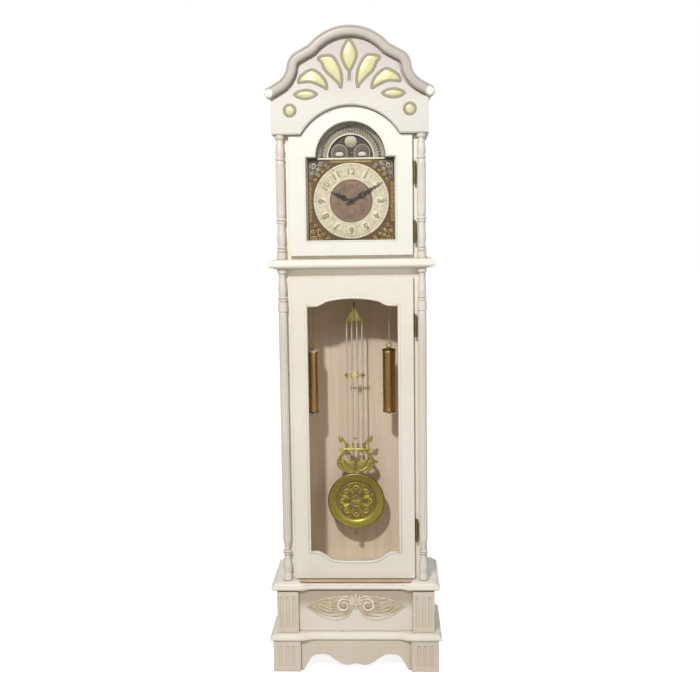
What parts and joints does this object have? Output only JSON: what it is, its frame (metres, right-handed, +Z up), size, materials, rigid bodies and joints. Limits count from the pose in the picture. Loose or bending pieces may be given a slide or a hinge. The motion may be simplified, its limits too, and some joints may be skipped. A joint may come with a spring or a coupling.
{
  "type": "longcase clock",
  "caption": "Tall free-standing clock case with an arched hood, a glazed trunk door, a pendulum and hanging weights above a moulded plinth.",
  "frame": {"origin": "on the floor, under the middle of the case's outline", "axes": "+X to the viewer's right, -Y the front with the dial and doors, +Z up"},
  "size_m": [0.542, 0.3, 2],
  "materials": {
    "cream_paint": "satin cream paint with a faint gold glaze in the grooves",
    "inner_wood": "matt beige veneer",
    "carving": "satin cream carving with a brown-gold glaze",
    "gold_inlay": "satin pale gold",
    "glass": "clear",
    "bronze_dial": "antiqued",
    "ivory_ring": "satin ivory and gold",
    "pale_gold": "satin",
    "moon_blue": "satin dark bronze with pale moons",
    "black_steel": "satin black",
    "steel": "polished",
    "brass": "polished",
    "dark_steel": "dark"
  },
  "bodies": {
    "case": {"apron_front": "cream_paint", "back_board": "inner_wood", "base_boards": "cream_paint", "carved_ornament": "carving", "case_hinges": "brass", "case_sides": "cream_paint", "chapter_ring": "ivory_ring", "crown_moulding": "cream_paint", "dial_plate": "bronze_dial", "dial_spandrels": "bronze_dial", "front_feet": "cream_paint", "gong_rods": "dark_steel", "hood_column_left": "cream_paint", "hood_column_right": "cream_paint", "hood_face_frame": "cream_paint", "hood_moulding": "cream_paint", "hood_roof": "inner_wood", "line_leads": "steel", "lower_ledge": "cream_paint", "lunar_scale": "pale_gold", "movement_frame": "brass", "pediment_board": "cream_paint", "pediment_inlays": "gold_inlay", "plinth_boards": "cream_paint", "plinth_panel": "cream_paint", "plinth_posts": "cream_paint", "roller_brackets": "brass", "seat_board": "inner_wood", "upper_ledge": "cream_paint", "waist_column_left": "cream_paint", "waist_column_right": "cream_paint", "waist_face_frame": "cream_paint"},
    "hood_door": {"hood_door_frame": "cream_paint", "hood_door_glass": "glass", "hood_door_hinges": "brass"},
    "waist_door": {"waist_door_frame": "cream_paint", "waist_door_glass": "glass", "waist_door_hinges": "brass"},
    "minute": {"minute_hand": "black_steel", "centre_arbor": "brass"},
    "hour": {"hour_hand": "black_steel"},
    "motion": {"motion_wheel": "brass"},
    "third": {"third_wheel": "brass"},
    "escape": {"escape_wheel": "brass"},
    "great": {"great_wheel": "brass"},
    "anchor": {"anchor": "brass"},
    "moon": {"moon_disc": "moon_blue"},
    "pendulum": {"pendulum_leader": "brass", "pendulum_rods": "steel", "pendulum_lyre": "brass", "pendulum_bob": "brass"},
    "drum_left": {"drum_left": "brass"},
    "drum_right": {"drum_right": "brass"},
    "roller_left": {"guide_roller_left": "brass"},
    "roller_right": {"guide_roller_right": "brass"},
    "weight_left": {"weight_left": "brass", "weight_line_left": "steel"},
    "weight_right": {"weight_right": "brass", "weight_line_right": "steel"},
    "hammer": {"strike_hammer": "brass"}
  },
  "joints": [
    {"name": "hood_door_swing", "type": "hinge", "parent": "case", "child": "hood_door", "pos_m": [0.195, -0.0925, 1.5], "axis": [0, 0, 1], "range_deg": [0, 100]},
    {"name": "waist_door_swing", "type": "hinge", "parent": "case", "child": "waist_door", "pos_m": [0.195, -0.0925, 0.77], "axis": [0, 0, 1], "range_deg": [0, 100]},
    {"name": "minute_spin", "type": "hinge", "parent": "case", "child": "minute", "pos_m": [0, 0, 1.481], "axis": [0, 1, 0], "continuous": true},
    {"name": "hour_spin", "type": "hinge", "parent": "case", "child": "hour", "pos_m": [0, 0, 1.481], "axis": [0, 1, 0], "continuous": true},
    {"name": "motion_spin", "type": "hinge", "parent": "case", "child": "motion", "pos_m": [0.024, 0, 1.481], "axis": [0, 1, 0], "continuous": true},
    {"name": "third_spin", "type": "hinge", "parent": "case", "child": "third", "pos_m": [0.01623, 0, 1.50283], "axis": [0, 1, 0], "continuous": true},
    {"name": "escape_spin", "type": "hinge", "parent": "case", "child": "escape", "pos_m": [0, 0, 1.52], "axis": [0, 1, 0], "continuous": true},
    {"name": "great_spin", "type": "hinge", "parent": "case", "child": "great", "pos_m": [-0.04, 0, 1.45671], "axis": [0, 1, 0], "continuous": true},
    {"name": "moon_spin", "type": "hinge", "parent": "case", "child": "moon", "pos_m": [0, 0, 1.6102], "axis": [0, 1, 0], "continuous": true},
    {"name": "pendulum_swing", "type": "hinge", "parent": "case", "child": "pendulum", "pos_m": [0, 0.062, 1.55], "axis": [0, 1, 0], "range_deg": [-3, 3]},
    {"name": "anchor_swing", "type": "hinge", "parent": "case", "child": "anchor", "pos_m": [0, 0, 1.55], "axis": [0, 1, 0], "range_deg": [-3, 3]},
    {"name": "weight_left_drop", "type": "slide", "parent": "case", "child": "weight_left", "axis": [0, 0, -1], "range_m": [0, 0.5], "deforming": ["weight_line_left"]},
    {"name": "weight_right_drop", "type": "slide", "parent": "case", "child": "weight_right", "axis": [0, 0, -1], "range_m": [0, 0.5], "deforming": ["weight_line_right"]},
    {"name": "drum_left_spin", "type": "hinge", "parent": "case", "child": "drum_left", "pos_m": [-0.04, 0, 1.45671], "axis": [0, 1, 0], "range_deg": [-1530, 0]},
    {"name": "drum_right_spin", "type": "hinge", "parent": "case", "child": "drum_right", "pos_m": [0.04, 0, 1.45671], "axis": [0, 1, 0], "range_deg": [0, 1530]},
    {"name": "roller_left_spin", "type": "hinge", "parent": "case", "child": "roller_left", "pos_m": [-0.126, 0.01, 1.385], "axis": [0, 1, 0], "range_deg": [-2660, 0]},
    {"name": "roller_right_spin", "type": "hinge", "parent": "case", "child": "roller_right", "pos_m": [0.102, 0.01, 1.385], "axis": [0, 1, 0], "range_deg": [0, 2660]},
    {"name": "hammer_lift", "type": "hinge", "parent": "case", "child": "hammer", "pos_m": [0.06, 0.101, 1.39], "axis": [0, 1, 0], "range_deg": [0, 15]}
  ],
  "couplings": [
    {"joint": "hour_spin", "follows": "minute_spin", "ratio": 0.083333},
    {"joint": "motion_spin", "follows": "minute_spin", "ratio": -1},
    {"joint": "third_spin", "follows": "minute_spin", "ratio": -7.5},
    {"joint": "escape_spin", "follows": "minute_spin", "ratio": 60},
    {"joint": "great_spin", "follows": "minute_spin", "ratio": -0.083333},
    {"joint": "moon_spin", "follows": "minute_spin", "ratio": 0.00070621},
    {"joint": "anchor_swing", "follows": "pendulum_swing", "ratio": 1},
    {"joint": "drum_left_spin", "follows": "weight_left_drop", "rad_per_m": -53.191},
    {"joint": "roller_left_spin", "follows": "weight_left_drop", "rad_per_m": -92.593},
    {"joint": "drum_right_spin", "follows": "weight_right_drop", "rad_per_m": 53.191},
    {"joint": "roller_right_spin", "follows": "weight_right_drop", "rad_per_m": 92.593}
  ]
}
